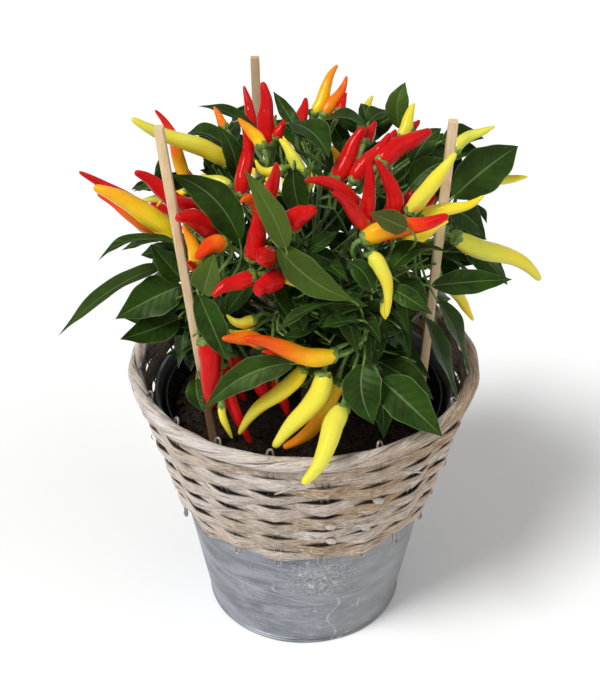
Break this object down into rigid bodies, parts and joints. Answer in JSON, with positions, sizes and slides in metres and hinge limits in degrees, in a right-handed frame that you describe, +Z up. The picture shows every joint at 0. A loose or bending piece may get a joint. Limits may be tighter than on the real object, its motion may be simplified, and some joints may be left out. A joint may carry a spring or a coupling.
{
  "type": "potted chilli pepper plant",
  "caption": "Bushy chilli plant with upright red and yellow fruits and support sticks, in a nursery pot inside a flared zinc bucket with a woven willow band.",
  "frame": {"origin": "centre of the bucket's flat underside", "axes": "+Z up along the bucket's axis, -Y toward the side of the bush with the hanging chillies"},
  "size_m": [0.2953, 0.274, 0.3815],
  "materials": {
    "zinc": "weathered galvanised sheet",
    "willow": "dry grey-washed split willow",
    "pot_plastic": "satin black",
    "stick_wood": "raw split wood",
    "stem": "green bark",
    "soil": "rough peat",
    "chilli_red": "glossy waxy skin",
    "chilli_orange": "glossy waxy skin",
    "chilli_yellow": "glossy waxy skin",
    "foliage": "satin green leaf"
  },
  "bodies": {
    "root": {"zinc_bucket": "zinc", "willow_band": "willow", "willow_border": "willow", "nursery_pot": "pot_plastic", "support_stick_left": "stick_wood", "support_stick_right": "stick_wood", "support_stick_back": "stick_wood", "main_stem": "stem", "soil": "soil", "chillies_yellow_upper_left": "chilli_yellow", "chillies_red_upper_left": "chilli_red", "chillies_yellow_left": "chilli_yellow", "chillies_red_left": "chilli_red", "chillies_red_left_front": "chilli_red", "chillies_orange_left_front": "chilli_orange", "chillies_red_top_left": "chilli_red", "chillies_yellow_top": "chilli_yellow", "chillies_red_top": "chilli_red", "chillies_red_front": "chilli_red", "chillies_yellow_back_top": "chilli_yellow", "chillies_red_back_top": "chilli_red", "chillies_yellow_right_top": "chilli_yellow", "chillies_red_right_top": "chilli_red", "chillies_red_right_front": "chilli_red", "chillies_orange_right_front": "chilli_orange", "chillies_yellow_right_front": "chilli_yellow", "chilli_yellow_hanging": "chilli_yellow", "chillies_yellow_right": "chilli_yellow", "chillies_yellow_front_low": "chilli_yellow", "chillies_yellow_front_left": "chilli_yellow", "chillies_red_left_low": "chilli_red", "chillies_red_back_left": "chilli_red", "chillies_yellow_back": "chilli_yellow", "chillies_red_back_right": "chilli_red", "chillies_yellow_back_low_left": "chilli_yellow", "chillies_red_back_low_right": "chilli_red", "leafy_shoot_left": "foliage", "leafy_shoot_left_front": "foliage", "leafy_shoot_upper_left": "foliage", "leafy_shoot_top": "foliage", "leafy_shoot_front": "foliage", "leafy_shoot_back_top": "foliage", "leafy_shoot_right_top": "foliage", "leafy_shoot_right_front": "foliage", "leafy_shoot_right": "foliage", "leafy_shoot_front_low": "foliage", "leafy_shoot_back_left": "foliage", "leafy_shoot_back": "foliage", "leafy_shoot_back_right": "foliage", "leafy_shoot_back_low_left": "foliage", "leafy_shoot_back_low_right": "foliage"}
  },
  "joints": []
}
